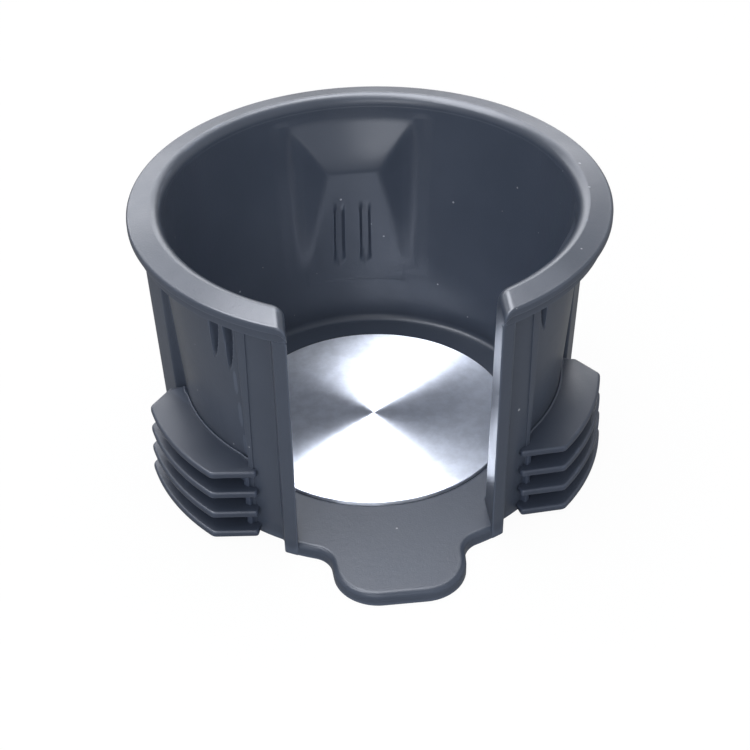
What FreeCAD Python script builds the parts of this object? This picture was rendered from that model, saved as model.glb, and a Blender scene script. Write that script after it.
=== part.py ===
import FreeCAD, Part
import math
import os

# A drop-in cup holder for a car console, in millimetres.
# The cup axis is Z, the origin is on that axis at the underside, and the open front faces -Y.

# Overall sizes
HEIGHT = 58.0
MOUTH_RADIUS = 40.5
RIM_TOP_OPENING = 42.0

# Front opening, between the flat faces of its posts
RIM_END_ROUND = 1.9
OPENING_HALF = RIM_TOP_OPENING / 2 - RIM_END_ROUND

# Rim flange and the collar under it
RIM_WIDTH = 6.75
RIM_RADIUS = MOUTH_RADIUS + RIM_WIDTH
RIM_FALL = 0.74
RIM_EDGE = 1.6
RIM_EDGE_ROUND = 0.6
LIP_ROUND = 1.6
FLANGE_THICKNESS = 2.2
FLANGE_UNDERSIDE = HEIGHT - FLANGE_THICKNESS
COLLAR_SETBACK = 1.0
COLLAR_RADIUS = RIM_RADIUS - COLLAR_SETBACK
COLLAR_DROP = 4.7
COLLAR_BOTTOM = HEIGHT - COLLAR_DROP
RIM_CORNER_ROUND = 1.2

# Cup wall, a cone outside and inside
INNER_TAPER = 4.24
INNER_RADIUS_LOW = MOUTH_RADIUS - INNER_TAPER
WALL_THICKNESS = 1.5
WALL_TAPER = 4.04
RECESS_RADIUS_HIGH = MOUTH_RADIUS + WALL_THICKNESS
RECESS_RADIUS_LOW = RECESS_RADIUS_HIGH - WALL_TAPER
FLOOR_TOP = 2.7
FOOT_WIDTH = 1.86
FLOOR_RADIUS = INNER_RADIUS_LOW - FOOT_WIDTH
FOOT_ROUND_TOP = 9.0
FOOT_BULGE = 0.66

# Thicker front wall and the two posts beside the opening
FRONT_PROUD = 1.1
FRONT_TAPER = 2.7
FRONT_RADIUS_HIGH = RECESS_RADIUS_HIGH + FRONT_PROUD
FRONT_RADIUS_LOW = FRONT_RADIUS_HIGH - FRONT_TAPER
POST_SETBACK = 0.05
POST_TAPER = 2.8
POST_RADIUS_HIGH = COLLAR_RADIUS - POST_SETBACK
POST_RADIUS_LOW = POST_RADIUS_HIGH - POST_TAPER
POST_WIDTH = 2.6

# Side recesses and the outer skin between them, as angles from the front
RECESS_NEAR = 41.2
RECESS_NEAR_TILT = 1.5
RECESS_FAR = 88.8
RIB_NEAR = 39.2
RIB_NEAR_TILT = 3.0
RIB_PROUD = 0.3
STEP_HEIGHT = 0.8
STEP_TAPER = 1.8
STEP_RADIUS_HIGH = RECESS_RADIUS_HIGH + STEP_HEIGHT
STEP_RADIUS_LOW = STEP_RADIUS_HIGH - STEP_TAPER
SKIN_MIDDLE = 120.0
SKIN_START = 97.0
SKIN_TAPER = 2.1
SKIN_RADIUS_HIGH = POST_RADIUS_HIGH
SKIN_RADIUS_LOW = SKIN_RADIUS_HIGH - SKIN_TAPER
SKIN_THICKNESS = 1.8
HOLLOW_START = 96.0

# Grip pads inside the cup
PAD_ANGLES = (60.0, 180.0, 300.0)
PAD_TOP_DROP = 4.6
PAD_TOP = HEIGHT - PAD_TOP_DROP
PAD_SHOULDER_DROP = 2.4
PAD_SHOULDER = PAD_TOP - PAD_SHOULDER_DROP
PAD_SHOULDER_PROUD = 4.2
PAD_SHOULDER_RADIUS = MOUTH_RADIUS - PAD_SHOULDER_PROUD
PAD_WAIST_DROP = 10.9
PAD_WAIST = PAD_TOP - PAD_WAIST_DROP
PAD_WAIST_PROUD = 5.6
PAD_WAIST_RADIUS = MOUTH_RADIUS - PAD_WAIST_PROUD
PAD_BOTTOM = 17.0
PAD_HALF = 6.4
PAD_FLARE = 1.5
PAD_FOOT_SPREAD = 1.3
GROOVE_OFFSET = 3.0
GROOVE_WIDTH = 2.3
GROOVE_DEPTH = 0.9
GROOVE_TOP_GAP = 1.0
GROOVE_TOP = PAD_WAIST - GROOVE_TOP_GAP
GROOVE_OVERRUN = 0.4
GROOVE_BOTTOM = PAD_BOTTOM - GROOVE_OVERRUN
GROOVE_POINT = 3.0
GROOVE_RUN_OUT = 7.0

# Tapered slots in the outer face: angles of both edges from the front, and reach below the collar
SLOTS = ((-43.0, -46.6, 14.6), (-48.5, -52.1, 13.3), (42.7, 45.8, 10.8))
SLOT_DEPTH = 2.6
SLOT_SKIN = 1.0
SLOT_SHOULDER = 0.4
SLOT_SLOPE_DROP = 3.3
SLOT_SLOPE = COLLAR_BOTTOM - SLOT_SLOPE_DROP

# Front tongue
FLOOR_EDGE_SETBACK = 0.1
FLOOR_EDGE_RADIUS = POST_RADIUS_LOW - FLOOR_EDGE_SETBACK
TONGUE_LENGTH = 11.3
TONGUE_REACH = FLOOR_EDGE_RADIUS + TONGUE_LENGTH
TONGUE_ROOT_INSET = 5.1
TONGUE_HALF_ROOT = OPENING_HALF - TONGUE_ROOT_INSET
TONGUE_NARROWING = 1.7
TONGUE_HALF_TIP = TONGUE_HALF_ROOT - TONGUE_NARROWING
TONGUE_CORNER = 8.8
TONGUE_ROOT_ROUND = 4.6
TONGUE_EDGE_ROUND = 1.1
TONGUE_OVERLAP = 13.3
TONGUE_START = TONGUE_OVERLAP - FLOOR_EDGE_RADIUS

# Metal disc in the floor
FLOOR_MARGIN = 5.25
DISC_RADIUS = FLOOR_RADIUS - FLOOR_MARGIN
DISC_THICKNESS = 1.0
DISC_PROUD = 0.6
DISC_TOP = FLOOR_TOP + DISC_PROUD
DISC_CLEARANCE = 0.25
DISC_EDGE_ROUND = 0.15

# Soft fin blocks: the corners of a fin as angles from the front and distances from the axis
FIN_COUNT = 4
FIN_TOP = 17.0
FIN_PITCH = 4.9
FIN_THICKNESS = 1.4
FIN_PROUD = 0.25
FIN_GROWTH = 0.8
FIN_RADIUS_TOP = RIM_RADIUS + FIN_PROUD
FIN_RADIUS_BOTTOM = FIN_RADIUS_TOP + FIN_GROWTH
FIN_NEAR_INNER = 37.96
FIN_NEAR_OUTER = 46.88
FIN_FAR_OUTER = 78.29
FIN_FAR_INNER = 84.74
FIN_NEAR_STEP = 1.71
FIN_FAR_STEP = 2.18
FIN_NEAR_RADIUS = FRONT_RADIUS_LOW + FIN_NEAR_STEP
FIN_FAR_RADIUS = FRONT_RADIUS_LOW + FIN_FAR_STEP
FIN_CORNER_ROUND = 0.7
FIN_TURN = -0.6
FIN_BACK_FAR = 84.6
FIN_BACK_THICKNESS = 2.0
FIN_WALL_GAP = 0.15
FIN_WEBS = (40.3, 82.0)
FIN_WEB_THICKNESS = 1.3
FIN_WEB_INSET = 4.7
FIN_WEB_REACH = FIN_RADIUS_TOP - FIN_WEB_INSET
FIN_EDGE_ROUND = 0.35

# Reach of the blocks that only cut
BIG = RIM_RADIUS * 1.5


def vec(x, y, z=0.0):
    return FreeCAD.Vector(x, y, z)


def at_angle(radius, degrees, z=0.0):
    """A point at an angle from the front, positive towards +X."""
    a = math.radians(degrees)
    return vec(radius * math.sin(a), -radius * math.cos(a), z)


def ramp(low, high, z):
    """A radius that grows evenly from the underside to the flange."""
    return low + (high - low) * z / FLANGE_UNDERSIDE


def wall_radius(z):
    return ramp(RECESS_RADIUS_LOW, RECESS_RADIUS_HIGH, z)


def inner_radius(z):
    """The cup's inner radius, which reaches the mouth's radius where the lip starts."""
    return INNER_RADIUS_LOW + (MOUTH_RADIUS - INNER_RADIUS_LOW) * z / (HEIGHT - LIP_ROUND)


def turned(points):
    """Revolves a closed outline of (radius, height) points about the cup axis."""
    outline = Part.makePolygon([vec(r, 0, z) for r, z in points + [points[0]]])
    return Part.Face(outline).revolve(vec(0, 0, 0), vec(0, 0, 1), 360)


def chain(points):
    """Straight edges from each point to the next."""
    return [Part.makeLine(first, last) for first, last in zip(points, points[1:])]


def spun(edges):
    """Revolves a closed outline of edges about the cup axis."""
    return Part.Face(Part.Wire(edges)).revolve(vec(0, 0, 0), vec(0, 0, 1), 360)


def prism(points, bottom, top):
    """Extrudes a closed plan outline of (x, y) points."""
    outline = Part.makePolygon([vec(x, y, bottom) for x, y in points + [points[0]]])
    return Part.Face(outline).extrude(vec(0, 0, top - bottom))


def wedge(start, end, bottom=-1.0, top=HEIGHT + 1.0):
    """The part of a round plan between two angles from the front."""
    steps = max(1, math.ceil((end - start) / 30))
    angles = [start + (end - start) * i / steps for i in range(steps + 1)]
    points = [(0.0, 0.0)] + [tuple(at_angle(BIG, a))[:2] for a in angles]
    return prism(points, bottom, top)


def cone(low, high, bottom=0.0, top=FLANGE_UNDERSIDE):
    """A solid cone whose radii are given at the underside and at the flange."""
    return turned([(0, bottom), (ramp(low, high, bottom), bottom), (ramp(low, high, top), top), (0, top)])


def mirrored(shape):
    return shape.mirror(vec(0, 0, 0), vec(1, 0, 0))


def both_sides(shape):
    return [shape, mirrored(shape)]


def rim_ring():
    """The flange with its rounded edge and the collar under it. The mouth is cut later."""
    edge_top = HEIGHT - RIM_FALL
    edge_bottom = edge_top - RIM_EDGE
    corner = RIM_EDGE_ROUND * (1 - math.sqrt(0.5))
    edge_start = vec(RIM_RADIUS - RIM_EDGE_ROUND, 0, edge_top)
    edge_middle = vec(RIM_RADIUS - corner, 0, edge_top - corner)
    edge_end = vec(RIM_RADIUS, 0, edge_top - RIM_EDGE_ROUND)
    lip = MOUTH_RADIUS + LIP_ROUND
    below = chain([
        edge_end, vec(RIM_RADIUS, 0, edge_bottom), vec(COLLAR_RADIUS, 0, edge_bottom),
        vec(COLLAR_RADIUS, 0, COLLAR_BOTTOM), vec(0, 0, COLLAR_BOTTOM), vec(0, 0, HEIGHT),
        vec(lip, 0, HEIGHT), edge_start,
    ])
    return spun(below + [Part.Arc(edge_start, edge_middle, edge_end).toShape()])


def beyond(angle, tilt):
    """A block filling everything past a plane at an angle from the front, tilted about mid height."""
    block = Part.makeBox(BIG, 2 * BIG, 2 * BIG, vec(0, -BIG, -BIG))
    block.rotate(vec(0, 0, 0), vec(0, 1, 0), -tilt)
    block.translate(vec(0, 0, HEIGHT / 2))
    block.rotate(vec(0, 0, 0), vec(0, 0, 1), angle)
    return block


def front_sector(shape, angle, tilt):
    return shape.cut(both_sides(beyond(angle, tilt)))


def front_wall():
    """The thicker wall on each side of the opening, with a narrow upright rib at its edge."""
    wall = front_sector(cone(FRONT_RADIUS_LOW, FRONT_RADIUS_HIGH), RECESS_NEAR, RECESS_NEAR_TILT)
    proud = cone(FRONT_RADIUS_LOW + RIB_PROUD, FRONT_RADIUS_HIGH + RIB_PROUD)
    ribs = front_sector(proud, RECESS_NEAR, RECESS_NEAR_TILT)
    ribs = ribs.cut(front_sector(cone(BIG, BIG), RIB_NEAR, RIB_NEAR_TILT))
    return wall.fuse(ribs)


def post():
    """One post beside the opening, flush with the collar at its top."""
    block = Part.makeBox(POST_WIDTH, BIG, FLANGE_UNDERSIDE, vec(OPENING_HALF, -BIG, 0))
    return cone(POST_RADIUS_LOW, POST_RADIUS_HIGH).common(block)


def skin_panel():
    """The outer skin between a side recess and the back recess, hollow and open underneath."""
    back_start = 2 * SKIN_MIDDLE - SKIN_START
    back_far = 2 * SKIN_MIDDLE - RECESS_FAR
    solid = cone(SKIN_RADIUS_LOW, SKIN_RADIUS_HIGH).common(wedge(RECESS_FAR, back_far))
    for inner, outer in ((RECESS_FAR, SKIN_START), (back_far, back_start)):
        solid = solid.cut(ramp_cutter(inner, outer))
    low = SKIN_RADIUS_LOW - SKIN_THICKNESS
    high = SKIN_RADIUS_HIGH - SKIN_THICKNESS
    hollow = cone(low, high).common(wedge(HOLLOW_START, 2 * SKIN_MIDDLE - HOLLOW_START))
    hollow = hollow.cut(cone(RECESS_RADIUS_LOW, RECESS_RADIUS_HIGH))
    return solid.cut(hollow)


def ramp_cutter(inner, outer):
    """Cuts the slanting end face of a skin panel, from the step beside the recess out to the skin."""
    sheet = []
    for z in (-1.0, HEIGHT):
        base = at_angle(ramp(STEP_RADIUS_LOW, STEP_RADIUS_HIGH, z), inner, z)
        crest = at_angle(ramp(SKIN_RADIUS_LOW, SKIN_RADIUS_HIGH, z), outer, z)
        along = crest.sub(base)
        square = vec(-along.y, along.x)
        if square.dot(base) < 0:
            square = square * -1
        start = base.sub(along)
        end = crest.add(along)
        corners = [start, end, end.add(square * 3), start.add(square * 3)]
        sheet.append(Part.makePolygon(corners + [start]))
    return Part.makeLoft(sheet, True, True)


def pad(angle):
    """One grip pad with its two grooves."""
    shape = pad_block(0.0)
    for side in (-1, 1):
        shape = shape.cut(groove(side * GROOVE_OFFSET))
    shape.rotate(vec(0, 0, 0), vec(0, 0, 1), angle)
    return shape


def pad_block(inset):
    """A rounded wedge turned about the axis, cut to a tapered plan that can be drawn in at its sides."""
    start = vec(inner_radius(PAD_TOP), 0, PAD_TOP)
    middle = vec(PAD_SHOULDER_RADIUS, 0, PAD_SHOULDER)
    end = vec(PAD_WAIST_RADIUS, 0, PAD_WAIST)
    bottom = vec(inner_radius(PAD_BOTTOM), 0, PAD_BOTTOM)
    behind = [bottom, vec(wall_radius(PAD_BOTTOM), 0, PAD_BOTTOM), vec(wall_radius(PAD_TOP), 0, PAD_TOP), start]
    ring = spun([Part.Arc(start, middle, end).toShape()] + chain([end] + behind))
    return ring.common(Part.makeLoft([pad_plan(PAD_BOTTOM, inset), pad_plan(HEIGHT, inset)], True, True))


def pad_plan(z, inset):
    """A pad's plan, wider at the wall than at its face, and wider at its foot than at its waist."""
    middle = PAD_HALF - inset + PAD_FOOT_SPREAD * (PAD_WAIST - z) / (PAD_WAIST - PAD_BOTTOM)
    near, far = PAD_WAIST_RADIUS * 0.95, RECESS_RADIUS_HIGH
    narrow = middle + PAD_FLARE * (near - PAD_WAIST_RADIUS)
    wide = middle + PAD_FLARE * (far - PAD_WAIST_RADIUS)
    points = [vec(narrow, -near, z), vec(wide, -far, z), vec(-wide, -far, z), vec(-narrow, -near, z)]
    return Part.makePolygon(points + [points[0]])


def groove(x):
    """An upright groove with a pointed lower end, in the lower face of a pad."""
    half = GROOVE_WIDTH / 2
    low, middle = GROOVE_BOTTOM + 0.3 * GROOVE_POINT, GROOVE_BOTTOM + GROOVE_POINT
    points = [
        (-half, GROOVE_TOP), (-half, middle), (-half * 0.6, low), (0, GROOVE_BOTTOM),
        (half * 0.6, low), (half, middle), (half, GROOVE_TOP),
    ]
    outline = Part.makePolygon([vec(x + u, 0, z) for u, z in points + [points[0]]])
    block = Part.Face(outline).extrude(vec(0, -BIG, 0))
    slope = (inner_radius(PAD_BOTTOM) - PAD_WAIST_RADIUS) / (PAD_WAIST - PAD_BOTTOM)
    near = PAD_WAIST_RADIUS * 0.8
    deep = [(near, GROOVE_BOTTOM)]
    for z, depth in ((GROOVE_BOTTOM, GROOVE_DEPTH), (GROOVE_TOP - GROOVE_RUN_OUT, GROOVE_DEPTH), (GROOVE_TOP, 0)):
        deep.append((PAD_WAIST_RADIUS + slope * (PAD_WAIST - z) + depth, z))
    deep.append((near, GROOVE_TOP))
    return block.common(turned(deep))


def cup_inside():
    """The hollow of the cup with its rounded foot and rounded lip, without the pads."""
    foot_end = vec(inner_radius(FOOT_ROUND_TOP), 0, FOOT_ROUND_TOP)
    foot_start = vec(FLOOR_RADIUS, 0, FLOOR_TOP)
    rise = foot_end.sub(foot_start)
    foot_middle = foot_start.add(vec(rise.x * FOOT_BULGE, 0, rise.z * (1 - FOOT_BULGE)))
    lip_start = vec(MOUTH_RADIUS, 0, HEIGHT - LIP_ROUND)
    slant = LIP_ROUND * (1 - math.sqrt(0.5))
    lip_middle = vec(MOUTH_RADIUS + slant, 0, HEIGHT - slant)
    lip_end = vec(MOUTH_RADIUS + LIP_ROUND, 0, HEIGHT)
    above = chain([lip_end, vec(lip_end.x, 0, HEIGHT + 1), vec(0, 0, HEIGHT + 1), vec(0, 0, FLOOR_TOP), foot_start])
    foot = Part.Arc(foot_start, foot_middle, foot_end).toShape()
    lip = Part.Arc(lip_start, lip_middle, lip_end).toShape()
    hollow = spun(above + [foot, Part.makeLine(foot_end, lip_start), lip])
    return hollow.cut([pad(angle) for angle in PAD_ANGLES])


def outer_slot(near, far, drop):
    """A slot in the outer face that narrows downwards to a point, upright on its far side."""
    top = FLANGE_UNDERSIDE
    tip = COLLAR_BOTTOM - drop
    shoulder = tip + SLOT_SHOULDER * drop
    sheet = []
    for radius in (RECESS_RADIUS_LOW * 0.8, RECESS_RADIUS_HIGH * 1.2):
        corners = [
            at_angle(radius, near, top), at_angle(radius, far, top),
            at_angle(radius, far, shoulder), at_angle(radius, far, tip), at_angle(radius, near, shoulder),
        ]
        sheet.append(Part.makePolygon(corners + [corners[0]]))
    block = Part.makeLoft(sheet, True, True)
    deep = turned([
        (0, 0), (RECESS_RADIUS_LOW - SLOT_DEPTH, 0), (wall_radius(SLOT_SLOPE) - SLOT_DEPTH, SLOT_SLOPE),
        (inner_radius(PAD_TOP) + SLOT_SKIN, PAD_TOP), (inner_radius(top) + SLOT_SKIN, top + 1), (0, top + 1),
    ])
    skin = turned([(0, 0), (inner_radius(0) + SLOT_SKIN, 0), (inner_radius(top) + SLOT_SKIN, top), (0, top)])
    backing = pad_block(SLOT_SKIN)
    backing.rotate(vec(0, 0, 0), vec(0, 0, 1), math.copysign(PAD_ANGLES[0], near))
    return block.cut(deep).cut(skin.cut(backing))


def opening():
    """The front opening, with the rim's ends rounded over at the top and at the outer corners."""
    start = vec(OPENING_HALF, 0, HEIGHT - RIM_END_ROUND)
    slant = RIM_END_ROUND * math.sqrt(0.5)
    middle = vec(OPENING_HALF + RIM_END_ROUND - slant, 0, HEIGHT - RIM_END_ROUND + slant)
    end = vec(OPENING_HALF + RIM_END_ROUND, 0, HEIGHT)
    raised = vec(end.x, 0, HEIGHT + 1)
    half = [
        Part.makeLine(vec(0, 0, FLOOR_TOP), vec(OPENING_HALF, 0, FLOOR_TOP)),
        Part.makeLine(vec(OPENING_HALF, 0, FLOOR_TOP), start),
        Part.Arc(start, middle, end).toShape(),
        Part.makeLine(end, raised),
        Part.makeLine(raised, vec(0, 0, HEIGHT + 1)),
        Part.makeLine(vec(0, 0, HEIGHT + 1), vec(0, 0, FLOOR_TOP)),
    ]
    side = Part.Face(Part.Wire(half)).extrude(vec(0, -BIG, 0))
    corner_x = OPENING_HALF + RIM_CORNER_ROUND
    corner_y = -math.sqrt((RIM_RADIUS - RIM_CORNER_ROUND) ** 2 - corner_x ** 2)
    corner = Part.makeBox(RIM_CORNER_ROUND, BIG, HEIGHT, vec(OPENING_HALF, corner_y - BIG, COLLAR_BOTTOM - 1))
    corner = corner.cut(Part.makeCylinder(RIM_CORNER_ROUND, HEIGHT, vec(corner_x, corner_y, COLLAR_BOTTOM - 1)))
    corner = corner.cut(cone(POST_RADIUS_LOW, POST_RADIUS_HIGH, 0.0, HEIGHT + 2))
    return [side, mirrored(side)] + both_sides(corner)


def tongue():
    """The front of the floor: a rounded tongue, with hollow curves where it leaves the floor's edge."""
    side = vec(TONGUE_HALF_TIP - TONGUE_HALF_ROOT, -TONGUE_REACH - TONGUE_START)
    side.normalize()
    outward = vec(-side.y, side.x)
    start = vec(TONGUE_HALF_ROOT, TONGUE_START)

    def beside(offset):
        return start.add(outward * offset)

    line = beside(-TONGUE_CORNER)
    corner_y = TONGUE_CORNER - TONGUE_REACH
    corner = line.add(side * ((corner_y - line.y) / side.y))
    line = beside(TONGUE_ROOT_ROUND)
    distance = FLOOR_EDGE_RADIUS + TONGUE_ROOT_ROUND
    along = -line.dot(side) + math.sqrt(line.dot(side) ** 2 - line.dot(line) + distance ** 2)
    root = line.add(side * along)

    stop_x = OPENING_HALF + POST_WIDTH / 2
    floor_end = vec(stop_x, -math.sqrt(FLOOR_EDGE_RADIUS ** 2 - stop_x ** 2))
    floor_last = root * (FLOOR_EDGE_RADIUS / distance)
    floor_middle = floor_end.add(floor_last)
    floor_middle = floor_middle * (FLOOR_EDGE_RADIUS / floor_middle.Length)
    root_middle = toward(root, floor_last.sub(root) - outward * TONGUE_ROOT_ROUND, TONGUE_ROOT_ROUND)
    side_first = root.sub(outward * TONGUE_ROOT_ROUND)
    side_last = corner.add(outward * TONGUE_CORNER)
    corner_middle = toward(corner, outward + vec(0, -1), TONGUE_CORNER)
    tip = vec(corner.x, -TONGUE_REACH)
    inner = vec(stop_x, TONGUE_START)

    half = [
        Part.makeLine(inner, floor_end),
        Part.Arc(floor_end, floor_middle, floor_last).toShape(),
        Part.Arc(floor_last, root_middle, side_first).toShape(),
        Part.makeLine(side_first, side_last),
        Part.Arc(side_last, corner_middle, tip).toShape(),
    ]
    other = [mirrored(edge) for edge in half]
    across = [Part.makeLine(tip, vec(-tip.x, tip.y)), Part.makeLine(vec(-inner.x, inner.y), inner)]
    outline = Part.Wire(Part.__sortEdges__(half + other + across))
    plate = Part.Face(outline).extrude(vec(0, 0, FLOOR_TOP))
    edges = [e for e in plate.Edges if top_front(e)]
    return plate.makeFillet(TONGUE_EDGE_ROUND, edges)


def toward(centre, direction, distance):
    """The point at a distance from a centre, in a direction of any length."""
    return centre.add(direction * (distance / direction.Length))


def upright(edge):
    first, last = edge.Vertexes[0].Point, edge.Vertexes[-1].Point
    return abs(first.x - last.x) < 1e-6 and abs(first.y - last.y) < 1e-6


def top_front(edge):
    """An edge on the top of the front plate that faces forward."""
    box = edge.BoundBox
    across = box.YLength < 1e-6 and box.YMax > TONGUE_START - 1e-6
    straight_in = box.XLength < 1e-6
    return box.ZMin > FLOOR_TOP - 1e-6 and not across and not straight_in


def cup_body():
    """The whole moulding: rim, wall, posts, skin panels, pads, floor and tongue."""
    wall = cone(RECESS_RADIUS_LOW, RECESS_RADIUS_HIGH)
    wall = wall.cut([outer_slot(near, far, drop) for near, far, drop in SLOTS])
    outside = wall.fuse([rim_ring(), front_wall()] + both_sides(post()) + both_sides(skin_panel()))
    body = outside.cut(opening())
    body = body.cut(cup_inside())
    body = body.fuse(tongue())
    recess = Part.makeCylinder(DISC_RADIUS + DISC_CLEARANCE, HEIGHT, vec(0, 0, DISC_TOP - DISC_THICKNESS))
    body = body.cut(recess)
    return body.removeSplitter()


def base_disc():
    """The turned metal disc that lies in the floor."""
    disc = Part.makeCylinder(DISC_RADIUS, DISC_THICKNESS, vec(0, 0, DISC_TOP - DISC_THICKNESS))
    edges = [e for e in disc.Edges if e.BoundBox.ZMin > DISC_TOP - 1e-6]
    return disc.makeFillet(DISC_EDGE_ROUND, edges)


def fin_plate(top):
    """One crescent fin with straight slanting ends."""
    low = FIN_TOP - FIN_PITCH * (FIN_COUNT - 1)
    radius = FIN_RADIUS_BOTTOM + (FIN_RADIUS_TOP - FIN_RADIUS_BOTTOM) * (top - low) / (FIN_TOP - low)
    near_inner = at_angle(FIN_NEAR_RADIUS, FIN_NEAR_INNER)
    far_inner = at_angle(FIN_FAR_RADIUS, FIN_FAR_INNER)
    near_outer = at_angle(radius, FIN_NEAR_OUTER)
    far_outer = at_angle(radius, FIN_FAR_OUTER)
    middle = at_angle(radius, (FIN_NEAR_OUTER + FIN_FAR_OUTER) / 2)
    straight = chain([far_outer, far_inner, vec(0, 0), near_inner, near_outer])
    outline = Part.Wire([Part.Arc(near_outer, middle, far_outer).toShape()] + straight)
    plate = Part.Face(outline).extrude(vec(0, 0, FIN_THICKNESS))
    plate.translate(vec(0, 0, top - FIN_THICKNESS))
    corners = [e for e in plate.Edges if upright(e) and reach(e) > FIN_CORNER_ROUND]
    plate = plate.makeFillet(FIN_CORNER_ROUND, corners)
    rims = [e for e in plate.Edges if not upright(e) and reach(e) > near_inner.Length]
    return plate.makeFillet(FIN_EDGE_ROUND, rims)


def reach(edge):
    """How far the middle of an edge is from the cup axis."""
    middle = edge.valueAt((edge.FirstParameter + edge.LastParameter) / 2)
    return math.hypot(middle.x, middle.y)


def fin_block(turn):
    """The right-hand fin block: a curved back in the recess, its fins and two webs between them."""
    bottom = FIN_TOP - FIN_PITCH * (FIN_COUNT - 1) - FIN_THICKNESS
    gap = FIN_WALL_GAP
    thick = gap + FIN_BACK_THICKNESS
    back = cone(RECESS_RADIUS_LOW + thick, RECESS_RADIUS_HIGH + thick)
    back = back.common(wedge(RIB_NEAR, FIN_BACK_FAR, bottom, FIN_TOP - FIN_EDGE_ROUND))
    back = back.common(beyond(RECESS_NEAR, RECESS_NEAR_TILT))
    pieces = [fin_plate(FIN_TOP - FIN_PITCH * i) for i in range(FIN_COUNT)]
    spread = math.degrees(FIN_WEB_THICKNESS / 2 / FIN_RADIUS_TOP)
    for angle in FIN_WEBS:
        web = Part.makeCylinder(FIN_WEB_REACH, BIG)
        pieces.append(web.common(wedge(angle - spread, angle + spread, bottom + gap, FIN_TOP - FIN_THICKNESS / 2)))
    for piece in pieces:
        piece.rotate(vec(0, 0, 0), vec(0, 0, 1), turn)
    block = back.fuse(pieces)
    block = block.cut(cone(RECESS_RADIUS_LOW + gap, RECESS_RADIUS_HIGH + gap, -1.0, FLANGE_UNDERSIDE))
    front = cone(FRONT_RADIUS_LOW + RIB_PROUD + gap, FRONT_RADIUS_HIGH + RIB_PROUD + gap, -1.0, FLANGE_UNDERSIDE)
    block = block.cut(front_sector(front, RECESS_NEAR, RECESS_NEAR_TILT))
    return block.removeSplitter()


def save(shape, node):
    solids = shape.Solids
    assert len(solids) == 1 and solids[0].isValid(), (node, len(solids))
    solids[0].exportStep("parts/" + node + ".step")
    box = solids[0].BoundBox
    print(node, round(solids[0].Volume, 1), [round(v, 2) for v in (box.XLength, box.YLength, box.ZLength)])


def main():
    os.makedirs("parts", exist_ok=True)
    save(cup_body(), "cup_body")
    save(base_disc(), "base_disc")
    save(fin_block(FIN_TURN), "fin_block_right")
    save(mirrored(fin_block(-FIN_TURN)), "fin_block_left")


main()
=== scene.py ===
import math

import bmesh
import bpy
from mathutils import Matrix, Vector


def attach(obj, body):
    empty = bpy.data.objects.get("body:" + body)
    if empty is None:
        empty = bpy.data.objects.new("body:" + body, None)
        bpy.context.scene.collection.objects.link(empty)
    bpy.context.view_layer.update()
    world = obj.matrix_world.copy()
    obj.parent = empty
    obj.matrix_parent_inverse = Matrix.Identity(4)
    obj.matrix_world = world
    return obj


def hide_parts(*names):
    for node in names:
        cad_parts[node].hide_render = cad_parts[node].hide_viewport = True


bl_info = {
    "name": "Console cup holder",
    "version": (1, 0, 0),
    "blender": (4, 5, 0),
    "location": "View3D > Sidebar > Cup holder",
    "description": "Builds a drop-in cup holder with its metal disc, side fins and studio",
    "category": "Add Mesh",
}

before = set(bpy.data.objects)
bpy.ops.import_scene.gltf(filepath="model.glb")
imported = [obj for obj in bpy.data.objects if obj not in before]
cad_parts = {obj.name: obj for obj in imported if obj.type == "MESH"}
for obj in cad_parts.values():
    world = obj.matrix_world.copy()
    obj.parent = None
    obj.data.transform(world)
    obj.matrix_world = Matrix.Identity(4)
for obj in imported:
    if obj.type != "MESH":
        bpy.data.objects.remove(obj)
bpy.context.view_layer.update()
MM = 0.001


# Plan curves: every ring of the cup is one closed curve of arcs about the cup axis and straight lines

CORNER_STEPS = 3


def at_angle(radius, degrees):
    """A plan point at an angle from the front, positive towards +X."""
    a = math.radians(degrees)
    return Vector((radius * math.sin(a), -radius * math.cos(a)))


def arc(radius, start, end, count, spots=None):
    """An arc about the cup axis. spots are fractions of it, evenly spaced where none are given."""
    length = abs(math.radians(end - start)) * radius
    return length, lambda s: at_angle(radius, start + (end - start) * s / length), spots or count


def line(start, end, count):
    """A straight line between two plan points."""
    length = max((end - start).length, 1e-9)
    return length, lambda s: start + (end - start) * (s / length), count


def closed_curve(parts, trims, steps=CORNER_STEPS):
    """Joins arcs and lines, each with its corner to the next one rounded over a trim length."""
    points = []
    for i, (length, place, spots) in enumerate(parts):
        before, after = trims[i - 1], trims[i]
        before = min(before, length * 0.45)
        after = min(after, length * 0.45)
        if isinstance(spots, int):
            spots = [k / (spots - 1) for k in range(spots)]
        points += [place(before + (length - before - after) * f) for f in spots]
        next_length, next_place, _ = parts[(i + 1) % len(parts)]
        ahead = min(trims[i], next_length * 0.45)
        first, corner, last = points[-1], place(length), next_place(ahead)
        for k in range(1, steps + 1):
            t = k / (steps + 1)
            points.append(first * (1 - t) ** 2 + corner * 2 * t * (1 - t) + last * t * t)
    return points


def soft_min(a, b, width):
    """The smaller of two values, blended where they are within a width of each other."""
    return (a + b - math.sqrt((a - b) ** 2 + width * width)) / 2


def soft_max(a, b, width):
    """The larger of two values, blended in the same way."""
    return (a + b + math.sqrt((a - b) ** 2 + width * width)) / 2


def ease(value):
    """A smooth step from 0 to 1."""
    value = min(max(value, 0.0), 1.0)
    return value * value * (3 - 2 * value)


# Meshes

def mesh_object(name, vertices, faces, material):
    """A new object in metres from vertices in millimetres."""
    mesh = bpy.data.meshes.new(name)
    mesh.from_pydata([Vector(v) * MM for v in vertices], [], faces)
    mesh.materials.append(material)
    piece = bpy.data.objects.new(name, mesh)
    bpy.context.scene.collection.objects.link(piece)
    return piece


WELD_DISTANCE, SHARP_ANGLE = 0.004, 38.0


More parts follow.
